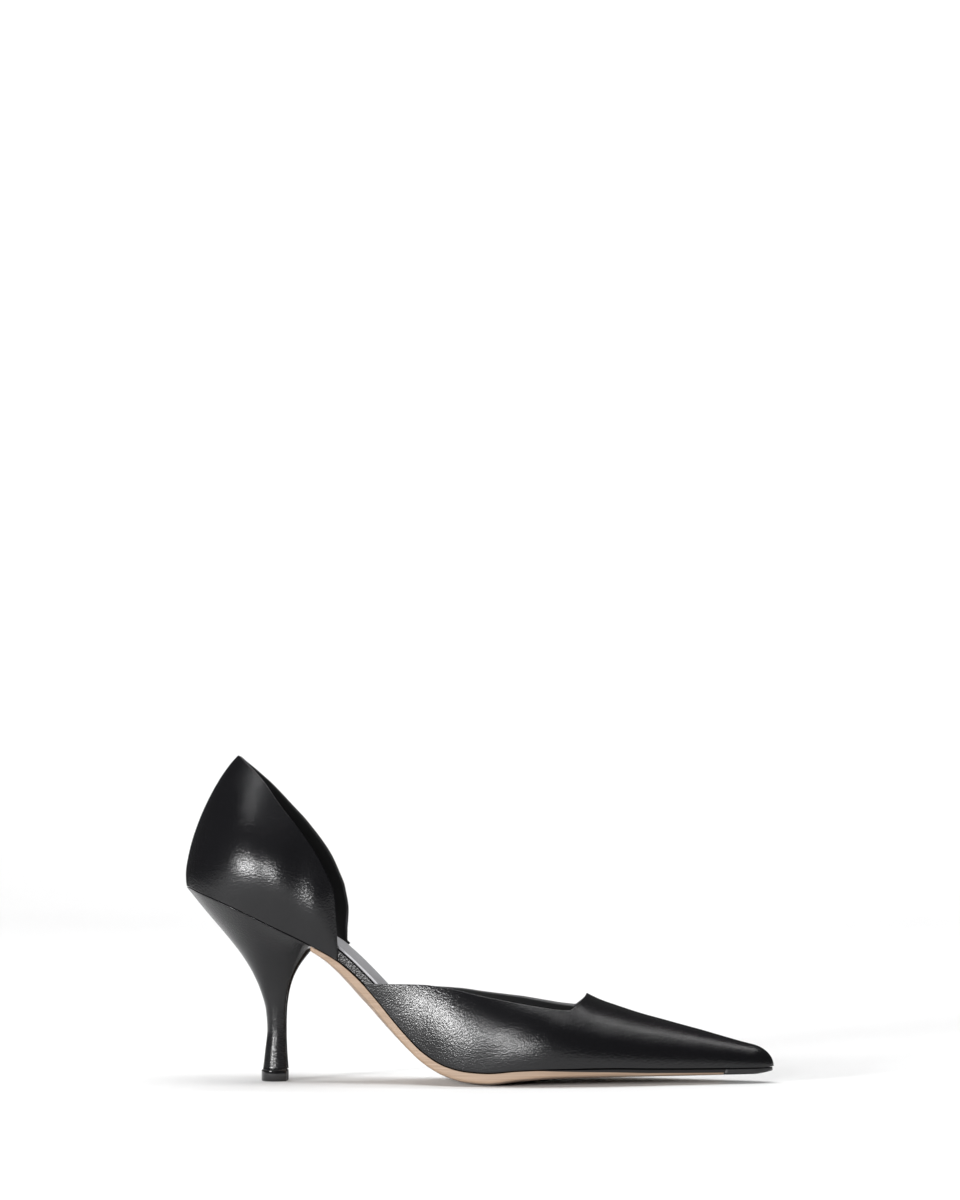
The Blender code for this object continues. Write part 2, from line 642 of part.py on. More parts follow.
def make_top_piece(material):
    """The hard piece that the heel walks on: the shape of the heel's foot, with rounded edges."""
    foot = heel_sections(np.array([0.0]))[0]
    length = np.ptp(foot[:, 0])
    middle = (foot[:, 0].min() + length / 2, 0)
    flat = (foot[:, :2] - middle) * TOP_PIECE_LENGTH / length
    turn = np.radians([0, 30, 60, 90])
    low = np.stack([TOP_PIECE_ROUND * (1 - np.sin(turn)), TOP_PIECE_ROUND * (1 - np.cos(turn))], -1)
    high = np.stack([low[::-1, 0], TOP_PIECE_HEIGHT - low[::-1, 1]], -1)
    rings = []
    for inset, level in np.concatenate([low, high]):
        ring = (HEEL_PITCH, 0) + flat * (1 - inset / (TOP_PIECE_LENGTH / 2))
        rings.append(np.column_stack([ring, np.full(len(ring), level)]))
    rings = np.array(rings)
    count = rings.shape[1]
    ends = [list(range(count))[::-1], list(range(len(rings) * count - count, len(rings) * count))]
    add_part("top_piece", rings, ring_faces(len(rings), count) + ends, material)


def main():
    for made in list(bpy.data.objects):
        bpy.data.objects.remove(made)
    bpy.context.scene.collection.children.link(bpy.data.collections.new(SHOE))
    leather = new_material("black_leather", (0.016, 0.016, 0.018), 0.38)
    lining = new_material("grey_lining", (0.20, 0.20, 0.21), 0.6)
    sole_leather = new_material("tan_sole_leather", (0.52, 0.36, 0.24), 0.5)
    rubber = new_material("black_rubber", (0.02, 0.02, 0.02), 0.6)
    hard = new_material("glossy_top_piece", (0.008, 0.008, 0.008), 0.12)
    make_vamp(leather)
    make_quarter(leather)
    make_insole(leather)
    make_sock(lining)
    make_sole(sole_leather, rubber)
    make_heel(leather)
    make_top_piece(hard)


main()
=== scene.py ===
# The dressed pump: every piece lofted finely from the shoe's own sizes, its leathers, the studio and the
# camera. Lengths along the shoe run from the back of the heel seat, as in the model.
from collections import namedtuple

import bpy
import numpy as np
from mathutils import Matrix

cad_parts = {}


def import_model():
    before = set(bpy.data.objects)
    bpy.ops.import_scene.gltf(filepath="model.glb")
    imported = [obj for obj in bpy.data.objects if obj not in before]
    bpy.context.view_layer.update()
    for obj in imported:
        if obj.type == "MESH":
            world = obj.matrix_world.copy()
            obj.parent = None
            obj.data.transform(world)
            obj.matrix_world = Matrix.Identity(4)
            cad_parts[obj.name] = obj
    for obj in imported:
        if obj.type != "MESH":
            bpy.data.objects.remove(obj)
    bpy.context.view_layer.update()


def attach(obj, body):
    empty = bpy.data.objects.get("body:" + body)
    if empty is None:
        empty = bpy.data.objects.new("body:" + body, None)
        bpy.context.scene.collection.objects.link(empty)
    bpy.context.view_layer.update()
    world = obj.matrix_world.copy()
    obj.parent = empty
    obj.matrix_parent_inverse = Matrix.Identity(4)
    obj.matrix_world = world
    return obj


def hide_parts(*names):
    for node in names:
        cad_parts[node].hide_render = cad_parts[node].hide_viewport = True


MM = 0.001

# The last
LENGTH = 255.0 * MM
SEAT_HEIGHT = 84.4 * MM
SEAT_WIDTH = 52.6 * MM
SEAT_CURVE = 30.0 * MM
WAIST_WIDTH = 41.5 * MM
BALL_WIDTH = 72.5 * MM
INSTEP_HEIGHT = 31.9 * MM
TOE_SPRING = 1.8 * MM
NOSE_LENGTH = 9.0 * MM
BOTTOM_CROWN = 0.066

# The upper
VAMP_WALL = 1.6 * MM
VAMP_LENGTH = 80.9 * MM
SIDE_HEIGHT = 43.2 * MM
THROAT_DIP = 5.8 * MM
THROAT_CORNER = 4.0 * MM
VAMP_BULGE = 0.09
QUARTER_WALL = 2.0 * MM
QUARTER_HEIGHT = 57.1 * MM
QUARTER_LEAN = 22.2 * MM
QUARTER_BULGE = 7.4 * MM
QUARTER_FRONT = 68.1 * MM
QUARTER_LIP = 5.6 * MM
INNER_EDGE_FORWARD = 1.7 * MM
INNER_WING_DROP = 2.7 * MM

# What lies under and inside the upper
INSOLE_THICKNESS = 3.0 * MM
WAIST_RAND = 5.4 * MM
INSOLE_DISH = 0.4
INSOLE_FRONT = 18.0 * MM
SOCK_THICKNESS = 0.8 * MM
SOCK_INSET = 1.2 * MM
SOLE_THICKNESS = 3.5 * MM
SOLE_INSET = 0.5 * MM
SOLE_BEVEL = 0.9 * MM
WAIST_BELLY = 3.5 * MM
TREAD_FLAT = 0.20 * MM
TOE_PIECE_LENGTH = 20.4 * MM
TOE_PIECE_SLANT = 1.4 * MM

# The heel
HEEL_SEAT_LENGTH = 55.8 * MM
HEEL_PITCH = 38.5 * MM
STEM_DEPTH = 7.9 * MM
STEM_BEHIND = 0.41
TOP_PIECE_LENGTH = 11.4 * MM
TOP_PIECE_HEIGHT = 4.9 * MM
TOP_PIECE_ROUND = 0.5 * MM

# Fits
GAP = 0.3 * MM
LASTING_GAP = 0.5 * MM

# How finely the pieces are divided: the layers under the foot along the shoe and across it, the quarter
# along its edge and up its side, and the heel round each side and across its breast
STATIONS = 181
COLUMNS = 29
QUARTER_COLUMNS = 100
QUARTER_ROWS = 58
HEEL_SIDES = 36
HEEL_BREAST = 24

# The bottom of the last. rise: share of the way up from the ball to the seat. spring: share of the toe
# spring. sole: share of the sole's thickness. belly: share of the waist's rounding under its edges.
# rand: share of the insole's extra height at its edge.
Bottom = namedtuple("Bottom", "along rise spring sole belly rand")
BOTTOM = (
    Bottom(0.000, 1.000, 0.00, 0.55, 0.00, 0.00),
    Bottom(0.008, 0.997, 0.00, 0.55, 0.00, 0.00),
    Bottom(0.024, 0.978, 0.00, 0.55, 0.00, 0.00),
    Bottom(0.047, 0.951, 0.00, 0.55, 0.00, 0.00),
    Bottom(0.102, 0.875, 0.00, 0.55, 0.00, 0.00),
    Bottom(0.153, 0.795, 0.00, 0.55, 0.00, 0.06),
    Bottom(0.208, 0.707, 0.00, 0.55, 0.00, 0.40),
    Bottom(0.235, 0.661, 0.00, 0.65, 0.10, 0.56),
    Bottom(0.261, 0.612, 0.00, 0.95, 0.42, 0.58),
    Bottom(0.280, 0.565, 0.00, 1.12, 0.70, 0.50),
    Bottom(0.306, 0.486, 0.00, 1.28, 0.88, 0.48),
    Bottom(0.333, 0.387, 0.00, 1.28, 0.80, 0.62),
    Bottom(0.359, 0.284, 0.00, 1.22, 0.55, 0.72),
    Bottom(0.385, 0.189, 0.00, 1.16, 0.30, 0.58),
    Bottom(0.412, 0.106, 0.00, 1.10, 0.12, 0.34),
    Bottom(0.451, 0.034, 0.00, 1.06, 0.03, 0.12),
    Bottom(0.486, 0.007, 0.00, 1.14, 0.00, 0.00),
    Bottom(0.522, 0.000, 0.00, 1.14, 0.00, 0.00),
    Bottom(0.576, 0.000, 0.62, 0.98, 0.00, 0.00),
    Bottom(0.645, 0.000, 0.95, 0.80, 0.00, 0.00),
    Bottom(0.718, 0.000, 1.00, 0.78, 0.00, 0.00),
    Bottom(0.800, 0.000, 0.74, 0.70, 0.00, 0.00),
    Bottom(0.867, 0.000, 0.56, 0.64, 0.00, 0.00),
    Bottom(0.925, 0.000, 0.47, 0.62, 0.00, 0.00),
    Bottom(0.965, 0.000, 0.45, 0.62, 0.00, 0.00),
    Bottom(0.982, 0.000, 0.50, 0.50, 0.00, 0.00),
    Bottom(1.000, 0.000, 0.62, 0.28, 0.00, 0.00),
)

# The outline of the last's bottom seen from above: its half widths to the outer and the inner side,
# before the rounding of the seat and of the nose.
Plan = namedtuple("Plan", "along outer inner")
PLAN = (
    Plan(0.000, 0.500 * SEAT_WIDTH, 0.500 * SEAT_WIDTH),
    Plan(0.118, 0.500 * SEAT_WIDTH, 0.500 * SEAT_WIDTH),
    Plan(0.165, 0.495 * SEAT_WIDTH, 0.487 * SEAT_WIDTH),
    Plan(0.216, 0.460 * SEAT_WIDTH, 0.441 * SEAT_WIDTH),
    Plan(0.275, 0.540 * WAIST_WIDTH, 0.498 * WAIST_WIDTH),
    Plan(0.333, 0.536 * WAIST_WIDTH, 0.464 * WAIST_WIDTH),
    Plan(0.392, 0.345 * BALL_WIDTH, 0.274 * BALL_WIDTH),
    Plan(0.451, 0.427 * BALL_WIDTH, 0.326 * BALL_WIDTH),
    Plan(0.510, 0.481 * BALL_WIDTH, 0.400 * BALL_WIDTH),
    Plan(0.557, 0.500 * BALL_WIDTH, 0.462 * BALL_WIDTH),
    Plan(0.608, 0.496 * BALL_WIDTH, 0.497 * BALL_WIDTH),
    Plan(0.659, 0.466 * BALL_WIDTH, 0.500 * BALL_WIDTH),
    Plan(0.706, 0.421 * BALL_WIDTH, 0.478 * BALL_WIDTH),
    Plan(0.765, 0.349 * BALL_WIDTH, 0.426 * BALL_WIDTH),
    Plan(0.824, 0.268 * BALL_WIDTH, 0.357 * BALL_WIDTH),
    Plan(0.882, 0.187 * BALL_WIDTH, 0.283 * BALL_WIDTH),
    Plan(0.933, 0.115 * BALL_WIDTH, 0.213 * BALL_WIDTH),
    Plan(0.969, 0.066 * BALL_WIDTH, 0.161 * BALL_WIDTH),
    Plan(1.000, 0.034 * BALL_WIDTH, 0.127 * BALL_WIDTH),
)

# The ridge of the last above its bottom edge, as shares of the instep's height. Behind the throat it is
# the line that the cut-away sides would run up to.
Ridge = namedtuple("Ridge", "along height")
RIDGE = (
    Ridge(0.250, 1.40),
    Ridge(0.300, 1.50),
    Ridge(0.345, 1.66),
    Ridge(0.392, 1.78),
    Ridge(0.451, 1.80),
    Ridge(0.510, 1.63),
    Ridge(0.569, 1.40),
    Ridge(0.628, 1.18),
    Ridge(0.682, 0.965),
    Ridge(0.706, 0.872),
    Ridge(0.740, 0.780),
    Ridge(0.774, 0.699),
    Ridge(0.808, 0.632),
    Ridge(0.842, 0.563),
    Ridge(0.876, 0.495),
    Ridge(0.910, 0.420),
    Ridge(0.944, 0.345),
    Ridge(0.976, 0.285),
    Ridge(1.000, 0.255),
)

# The vamp's top edge at the sides: its height as a share of the side's height above the floor, and the
# inner side's share of its drop below the outer side.
Side = namedtuple("Side", "along height drop")
SIDE = (
    Side(0.250, 1.000, 1.00),
    Side(0.345, 0.998, 1.00),
    Side(0.380, 1.001, 1.00),
    Side(0.415, 0.998, 1.00),
    Side(0.440, 0.981, 0.85),
    Side(0.467, 0.956, 0.67),
    Side(0.504, 0.906, 0.40),
    Side(0.543, 0.860, 0.16),
    Side(0.577, 0.822, 0.00),
    Side(0.608, 0.790, 0.00),
    Side(0.637, 0.764, 0.00),
    Side(0.700, 0.735, 0.00),
)

# The quarter's back seam: how far up it is, and how far it leans to the toe.
Back = namedtuple("Back", "up lean")
BACK = (
    Back(0.00, 0.000),
    Back(0.05, -0.018),
    Back(0.10, -0.024),
    Back(0.15, -0.013),
    Back(0.21, 0.012),
    Back(0.33, 0.083),
    Back(0.45, 0.182),
    Back(0.57, 0.303),
    Back(0.69, 0.450),
    Back(0.82, 0.640),
    Back(0.935, 0.850),
    Back(1.00, 1.000),
)

# The quarter's cut edge, from its peak down to its front: how far forward, how far down, how far out, and
# the inner side's share of its own way forward.
Edge = namedtuple("Edge", "forward down out inner")
EdgeStep = namedtuple("EdgeStep", ("place",) + Edge._fields)
EDGE = (
    Edge(0.000, 0.000, 0.000, 0.00),
    Edge(0.022, 0.004, 0.060, -0.15),
    Edge(0.080, 0.030, 0.125, -0.45),
    Edge(0.200, 0.088, 0.210, -0.50),
    Edge(0.295, 0.144, 0.280, -0.20),
    Edge(0.442, 0.252, 0.370, 0.57),
    Edge(0.593, 0.353, 0.424, 0.85),
    Edge(0.785, 0.500, 0.470, 0.85),
    Edge(0.900, 0.617, 0.482, 0.50),
    Edge(0.962, 0.704, 0.476, 0.38),
    Edge(0.980, 0.802, 0.464, 0.75),
    Edge(0.993, 0.923, 0.446, 0.20),
    Edge(1.000, 1.000, 0.432, 0.00),
)

# The heel from its foot to its seat. up: share of the height to the seat's back or the breast's top.
# back and breast: shares of the way from the stem out to the seat's back and front. half: half width
# as a share of the seat's. front: the breast's width beside the widest. dish: the breast's hollow.
Heel = namedtuple("Heel", "back_up back breast_up breast half front dish")
HeelStep = namedtuple("HeelStep", ("level",) + Heel._fields)
HEEL = (
    Heel(0.000, 0.052, 0.000, 0.066, 0.228, 0.66, 0.03),
    Heel(0.100, 0.026, 0.150, 0.018, 0.206, 0.66, 0.03),
    Heel(0.215, 0.000, 0.310, 0.000, 0.188, 0.68, 0.04),
    Heel(0.320, 0.016, 0.460, 0.014, 0.204, 0.70, 0.06),
    Heel(0.425, 0.080, 0.600, 0.090, 0.252, 0.72, 0.09),
    Heel(0.525, 0.177, 0.715, 0.215, 0.335, 0.75, 0.11),
    Heel(0.625, 0.314, 0.810, 0.400, 0.455, 0.79, 0.12),
    Heel(0.735, 0.506, 0.885, 0.610, 0.605, 0.84, 0.11),
    Heel(0.865, 0.754, 0.950, 0.820, 0.795, 0.89, 0.07),
    Heel(1.000, 1.000, 1.000, 1.000, 1.000, 0.93, 0.00),
)


# A dark band along the top of the sole's edge: how wide it is below the sole's top, as a share of its full width
SOLE_DARK_BAND = 1.5 * MM
Ink = namedtuple("Ink", "along share")
DARK_BAND = (
    Ink(0.000, -0.30),
    Ink(0.580, -0.20),
    Ink(0.640, 0.35),
    Ink(0.720, 0.80),
    Ink(0.800, 1.00),
    Ink(1.000, 1.00),
)

# The heel's covering is folded over in a bead along the breast, and its rim is rounded above this level
HEEL_BEAD = 0.35 * MM
HEEL_RIM = 0.985

# Calf grain: the width of a pebble and of a pore, their depth, and the width of a patch of polish. All
# four were set wide enough to show in the render.
PEBBLE = 0.8 * MM
PORE = 0.3 * MM
GRAIN_DEPTH = 0.075 * MM
POLISH_PATCH = 14 * MM

# Soft folds of the upper. x and length: shares of the shoe's length. z, slope and width: shares of the
# instep's height, z above the sole's edge. depth: share of the vamp's wall. side: -1 outer, 1 inner, 0 both.
Fold = namedtuple("Fold", "x z length slope width depth side")
FOLDS = (
    Fold(0.202, 0.66, 0.029, 0.20, 0.60, 0.95, -1),
    Fold(0.610, 0.55, 0.060, 0.30, 0.16, 0.10, 0),
    Fold(0.560, 0.42, 0.050, 0.25, 0.12, 0.08, -1),
    Fold(0.760, 0.30, 0.080, -0.05, 0.14, 0.09, 0),
)

# The studio: the room's brightness, and the softboxes with sizes in metres and power in watts. Two from the
# lower left give the long shines on the vamp and the quarter, one from above the shine near the peak.
ROOM = 0.06
Light = namedtuple("Light", "name place target size power")
LIGHTS = (
    Light("over", (0.1, -0.2, 2.0), (0.1, 0.1, 0.0), (1.8, 1.0), 22.0),
    Light("low_left", (-0.86, -1.28, 0.30), (0.05, 0.0, 0.07), (0.20, 0.14), 21.0),
    Light("front", (-0.12, -1.59, 0.28), (0.02, 0.0, 0.07), (0.24, 0.10), 12.0),
    Light("high_left", (-0.62, -0.36, 1.55), (0.0, 0.0, 0.12), (0.20, 0.20), 3.0),
    Light("backdrop", (0.1, 0.9, 2.2), (0.1, 2.5, 0.5), (2.6, 0.5), 40.0),
)

# The camera: its lens and film in millimetres, where it stands and what it looks at
LENS = 138.0
FILM_WIDTH = 36.0
CAMERA_PLACE = (0.2150, -1.9961, 0.140)
CAMERA_TARGET = (0.0894, 0, 0.2089)


def smooth(table, name, along):
    """A column of a table as a smooth curve: cubics whose slopes never overshoot the rows."""
    rows = np.array([row[0] for row in table])
    values = np.array([getattr(row, name) for row in table])
    steps = np.diff(rows)
    slopes = np.diff(values) / steps
    before, after = slopes[:-1], slopes[1:]
    same = before * after > 0
    mean = 2 * before * after / np.where(same, before + after, 1.0)
    tangents = np.concatenate([slopes[:1], np.where(same, mean, 0.0), slopes[-1:]])
    along = np.clip(along, rows[0], rows[-1])
    k = np.clip(np.searchsorted(rows, along, side="right") - 1, 0, len(steps) - 1)
    t = (along - rows[k]) / steps[k]
    rise = values[k + 1] - values[k]
    start, end = tangents[k] * steps[k], tangents[k + 1] * steps[k]
    return values[k] + t * start + t**2 * (3 * rise - 2 * start - end) + t**3 * (start + end - 2 * rise)


def seat_round(x):
    """How far the seat's round back has opened out at x: a quarter of an ellipse."""
    return np.sqrt(1 - (1 - np.clip(x / SEAT_CURVE, 0, 1)) ** 2)


def nose_round(x):
    """How far the nose's rounding has closed in at x: a quarter of an ellipse."""
    return np.sqrt(1 - np.clip((x - (LENGTH - NOSE_LENGTH)) / NOSE_LENGTH, 0, 1) ** 2)


def plan(x):
    """The middle and the half width of the last's bottom at x."""
    near = np.array([-0.024, -0.012, 0.0, 0.012, 0.024])
    nearby = np.clip(np.asarray(x)[..., None] / LENGTH + near, 0, 1)
    outer, inner = smooth(PLAN, "outer", nearby).mean(-1), smooth(PLAN, "inner", nearby).mean(-1)
    return (inner - outer) / 2, (inner + outer) / 2 * seat_round(x) * nose_round(x)


def crown(x):
    """How far the last's bottom sinks from its edges to its middle."""
    return BOTTOM_CROWN * plan(x)[1]


def feather(x):
    """The height of the edge where the upper meets the sole."""
    at_ball = SOLE_THICKNESS + GAP + BOTTOM_CROWN * BALL_WIDTH / 2 - TREAD_FLAT
    rise, spring = smooth(BOTTOM, "rise", x / LENGTH), smooth(BOTTOM, "spring", x / LENGTH)
    return at_ball + (SEAT_HEIGHT - at_ball) * rise + TOE_SPRING * spring


def across(x, y):
    """0 in the middle of the last's bottom and 1 at its edges."""
    middle, half = plan(x)
    return np.clip(np.abs(y - middle) / np.maximum(half, MM), 0, 1)


def last_bottom(x, y):
    """The last's bottom: level with its edges there, and sunk by the crown in the middle."""
    return feather(x) - crown(x) * (1 - across(x, y) ** 2.5)


def upright(x, distance):
    """How high a distance square to the last's bottom is when it is measured upright."""
    slope = (feather(x + MM) - feather(x - MM)) / (2 * MM)
    return distance * np.sqrt(1 + slope**2)


def seat_face(x, y):
    """The face that the sole and the heel turn to the last, a gap below it."""
    return last_bottom(x, y) - upright(x, GAP)


def outline(side, inset=0.0):
    """One side of the bottom's outline from the seat to the nose, moved inwards along its normals."""
    share = np.linspace(0, 1, 801)
    x = LENGTH * (1 - np.cos(np.pi * share)) / 2
    middle, half = plan(x)
    y = middle + side * half
    dx, dy = np.gradient(x), np.gradient(y)
    dx[0] = dx[-1] = 0.0
    size = np.hypot(dx, dy)
    return x + side * inset * dy / size, y - side * inset * dx / size


def outline_at(stations, side, inset=0.0):
    """The outline's points that started at these stations along the shoe."""
    x, y = outline(side, inset)
    share = np.arccos(1 - 2 * np.clip(stations / LENGTH, 0, 1)) / np.pi
    shares = np.linspace(0, 1, len(x))
    return np.interp(share, shares, x), np.interp(share, shares, y)


def stations(first, last):
    """Places along the shoe, closer together towards the seat's back and the nose. All layers share them."""
    shared = LENGTH * (1 - np.cos(np.linspace(0, np.pi, STATIONS))) / 2
    inside = shared[(shared > first + 0.6 * MM) & (shared < last - 0.4 * MM)]
    return np.concatenate([[first], inside, [last]])


def rungs(places, inset):
    """Lines straight across the outline, one for each station: x and y, from the outer to the inner side."""
    t = np.linspace(0, 1, COLUMNS)
    t = t - 0.9 * np.sin(2 * np.pi * t) / (2 * np.pi)
    outer, inner = outline_at(places, -1, inset), outline_at(places, 1, inset)
    return tuple(a[:, None] * (1 - t) + b[:, None] * t for a, b in zip(outer, inner))


def side_top(x, side):
    """The height of the vamp's top edge along the sides. The inner side is lower towards the waist."""
    drop = INNER_WING_DROP * smooth(SIDE, "drop", x / LENGTH) * (side > 0)
    return SIDE_HEIGHT * smooth(SIDE, "height", x / LENGTH) - drop


def side_angle(x, side):
    """The arch's angle at the side's top edge."""
    height = INSTEP_HEIGHT * smooth(RIDGE, "height", x / LENGTH)
    return np.arcsin(np.clip((side_top(x, side) - feather(x)) / height, 0, 1))


def vamp_stations(side):
    """Stations from a wing's end to the nose with the arch's top angle at each."""
    throat = LENGTH - VAMP_LENGTH
    corner = throat - THROAT_DIP
    search = np.linspace(0.25 * LENGTH, 0.45 * LENGTH, 400)
    end = search[np.argmax(side_top(search, side) > feather(search) + MM)]
    wings = np.linspace(end, corner - THROAT_CORNER, 70)
    turn = corner - np.array([0.75, 0.52, 0.32, 0.16, 0.05]) * THROAT_CORNER
    share = np.array([0.985, 0.95, 0.89, 0.80, 0.70, 0.58, 0.46, 0.33, 0.20, 0.09])
    dip = throat - THROAT_DIP * share**3
    toe = throat + (LENGTH - throat) * np.sin(np.linspace(0, np.pi / 2, 70))
    dip_angle = np.arccos(np.cos(side_angle(np.array([corner]), side)) * share)
    x = np.concatenate([wings, turn, dip, toe])
    sides = side_angle(np.concatenate([wings, turn]), side)
    angle = np.concatenate([sides, dip_angle, np.full(len(toe), np.pi / 2)])
    return x, angle


def vamp_surface(side):
    """The vamp: over each station an arch, upright where it leaves the sole and flat at the ridge."""
    x, top = vamp_stations(side)
    share = np.concatenate([[0, 0.012], np.linspace(0.04, 0.96, 26), [0.988, 1]])
    x, angle = x[:, None], top[:, None] * share
    middle, half = plan(x)
    height = INSTEP_HEIGHT * smooth(RIDGE, "height", x / LENGTH) * nose_round(x)
    out = np.cos(angle) * (1 + VAMP_BULGE * np.sin(2 * angle))
    points = np.stack([x + 0 * angle, middle + side * half * out, feather(x) + height * np.sin(angle)], -1)
    return pressed(points, side)


def even_steps(points, count):
    """The same line of points with evenly long steps."""
    length = np.concatenate([[0], np.cumsum(np.linalg.norm(np.diff(points, axis=0), axis=1))])
    places = np.linspace(0, length[-1], count)
    return np.stack([np.interp(places, length, column) for column in points.T], -1)


def quarter_edge(side, count):
    """The quarter's cut edge from the peak to the front, read smoothly along its rows."""
    base = feather(0.0)
    rows = np.array(EDGE)
    down = base + QUARTER_HEIGHT - (feather(QUARTER_FRONT) + QUARTER_LIP)
    reach = (QUARTER_FRONT - QUARTER_LEAN, down, SEAT_WIDTH)
    step = np.linalg.norm(np.diff(rows[:, :3] * reach, axis=0), axis=1)
    length = np.concatenate([[0], np.cumsum(step)]) / step.sum()
    table = [EdgeStep(share, *row) for share, row in zip(length, rows)]
    place = np.linspace(0, 1, 400)
    x = QUARTER_LEAN + reach[0] * smooth(table, "forward", place)
    z = base + QUARTER_HEIGHT - down * smooth(table, "down", place)
    y = side * SEAT_WIDTH * smooth(table, "out", place)
    x = x + INNER_EDGE_FORWARD * smooth(table, "inner", place) * (side > 0)
    return even_steps(np.stack([x, y, z], -1), count)


def insole_top(x, y):
    """The insole's upper face: thin in the seat and the forepart, deep and hollow at the waist."""
    raised = smooth(BOTTOM, "rand", x / LENGTH) * WAIST_RAND
    return last_bottom(x, y) + INSOLE_THICKNESS + raised * (1 - INSOLE_DISH * (1 - across(x, y) ** 2))


def sole_bottom(x, y):
    """The sole's lower face: its thickness under the last, rounder at the waist, worn flat on the floor."""
    thick = SOLE_THICKNESS * smooth(BOTTOM, "sole", x / LENGTH)
    belly = WAIST_BELLY * smooth(BOTTOM, "belly", x / LENGTH) * (1 - across(x, y) ** 2)
    return np.maximum(seat_face(x, y) - thick - belly, 0)


def heel_rows(levels):
    """Where the heel's back and breast are at each level: their x and z."""
    foot = TOP_PIECE_HEIGHT + GAP
    stem_back = HEEL_PITCH - STEM_BEHIND * STEM_DEPTH
    stem_front = stem_back + STEM_DEPTH
    table = [HeelStep(k / (len(HEEL) - 1), *row) for k, row in enumerate(HEEL)]
    read = {name: smooth(table, name, levels) for name in Heel._fields}
    back_x = stem_back + (GAP - stem_back) * read["back"]
    back_z = foot + (feather(0.0) - GAP - foot) * read["back_up"]
    front_x = stem_front + (HEEL_SEAT_LENGTH - stem_front) * read["breast"]
    front_z = foot + (feather(HEEL_SEAT_LENGTH) - GAP - foot) * read["breast_up"]
    return (back_x, back_z), (front_x, front_z), read


def pressed(points, side):
    """The same surface with its soft folds pressed in: each a trough that fades like a bell curve."""
    for fold in FOLDS:
        if fold.side == side or fold.side == 0:
            along = (points[..., 0] - fold.x * LENGTH) / (fold.length * LENGTH)
            lean = fold.z * INSTEP_HEIGHT + along * fold.slope * INSTEP_HEIGHT
            across_it = (points[..., 2] - feather(points[..., 0]) - lean) / (fold.width * INSTEP_HEIGHT)
            points[..., 1] -= side * fold.depth * VAMP_WALL * np.exp(-(along**2) - across_it**2)
    return points


def quarter_surface(side, columns=QUARTER_COLUMNS, rows=QUARTER_ROWS):
    """The quarter: the patch blended between its four edges, pushed outwards where the heel is full."""
    x, y = outline(side)
    inside = x <= QUARTER_FRONT
    spread = np.concatenate([np.linspace(0, 0.985, columns - 2), [0.994, 1]])
    fine = even_steps(np.stack([x, y, feather(x)], -1)[inside], 800)
    shares = np.linspace(0, 1, 800)
    low = np.stack([np.interp(spread, shares, column) for column in fine.T], -1)
    edge = quarter_edge(side, 800)
    high = np.stack([np.interp(spread, shares, column) for column in edge.T], -1)
    v = np.concatenate([[0, 0.008], np.linspace(0.025, 0.985, rows - 4), [0.994, 1]])
    up = v * v * (3 - 2 * v) * 0.3 + v * 0.7
    back = np.stack([QUARTER_LEAN * smooth(BACK, "lean", up), 0 * v, QUARTER_HEIGHT * up], -1)
    back = back + (0, 0, feather(0.0))
    u, up = spread[:, None, None], up[None, :, None]
    chord = low[0] + (high[0] - low[0]) * up
    patch = low[:, None] * (1 - up) + high[:, None] * up + (1 - u) * (back[None] - chord)
    full = np.sin(np.pi * up[..., 0] ** 1.15) * np.abs(low[:, None, 1]) / (SEAT_WIDTH / 2)
    patch[..., 1] += side * QUARTER_BULGE * full * (1 - u[..., 0] ** 3)
    return pressed(patch, side)


def grid_faces(rows, columns, first=0):
    """Quads between neighbouring points of a grid, numbered from first."""
    i = np.arange(rows - 1)[:, None] * columns + first
    j = np.arange(columns - 1)[None, :]
    return np.stack([i + j, i + j + 1, i + j + 1 + columns, i + j + columns], -1).reshape(-1, 4)


def ring_faces(rings, count):
    """Quads between each ring and the next."""
    i = np.arange(rings - 1)[:, None] * count
    j = np.arange(count)[None, :]
    after = (j + 1) % count
    return np.stack([i + j, i + j + count, i + after + count, i + after], -1).reshape(-1, 4)


def new_piece(name, points, faces, materials, node, values=None, closed=True):
    """A smooth piece that stands for a node, its twin points welded. values are a number for each point."""
    mesh = bpy.data.meshes.new(name)
    place = np.asarray(points, dtype=float).reshape(-1, 3) - (HEEL_PITCH, 0, 0)
    _, first, same = np.unique(np.round(place / (0.5e-3 * MM)), axis=0, return_index=True, return_inverse=True)
    faces = [same.reshape(-1)[np.asarray(face)] for face in faces]
    lists = [tuple(dict.fromkeys(corner)) for face in faces for corner in face.tolist()]
    mesh.from_pydata(place[first].tolist(), [], [corner for corner in lists if len(corner) > 2])
    if values is not None:
        layer = mesh.attributes.new("band", "FLOAT", "POINT")
        layer.data.foreach_set("value", np.ravel(values)[first].astype(np.float32))
    for material in materials:
        mesh.materials.append(material)
    mesh.shade_smooth()
    place, flat = place[first], np.array([face.vertices[:3] for face in mesh.polygons])
    if closed and np.linalg.det(place[flat]).sum() < 0:
        mesh.flip_normals()
    made = bpy.data.objects.new(name, mesh)
    bpy.context.scene.collection.objects.link(made)
    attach(made, "root")
    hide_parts(node)
    return made


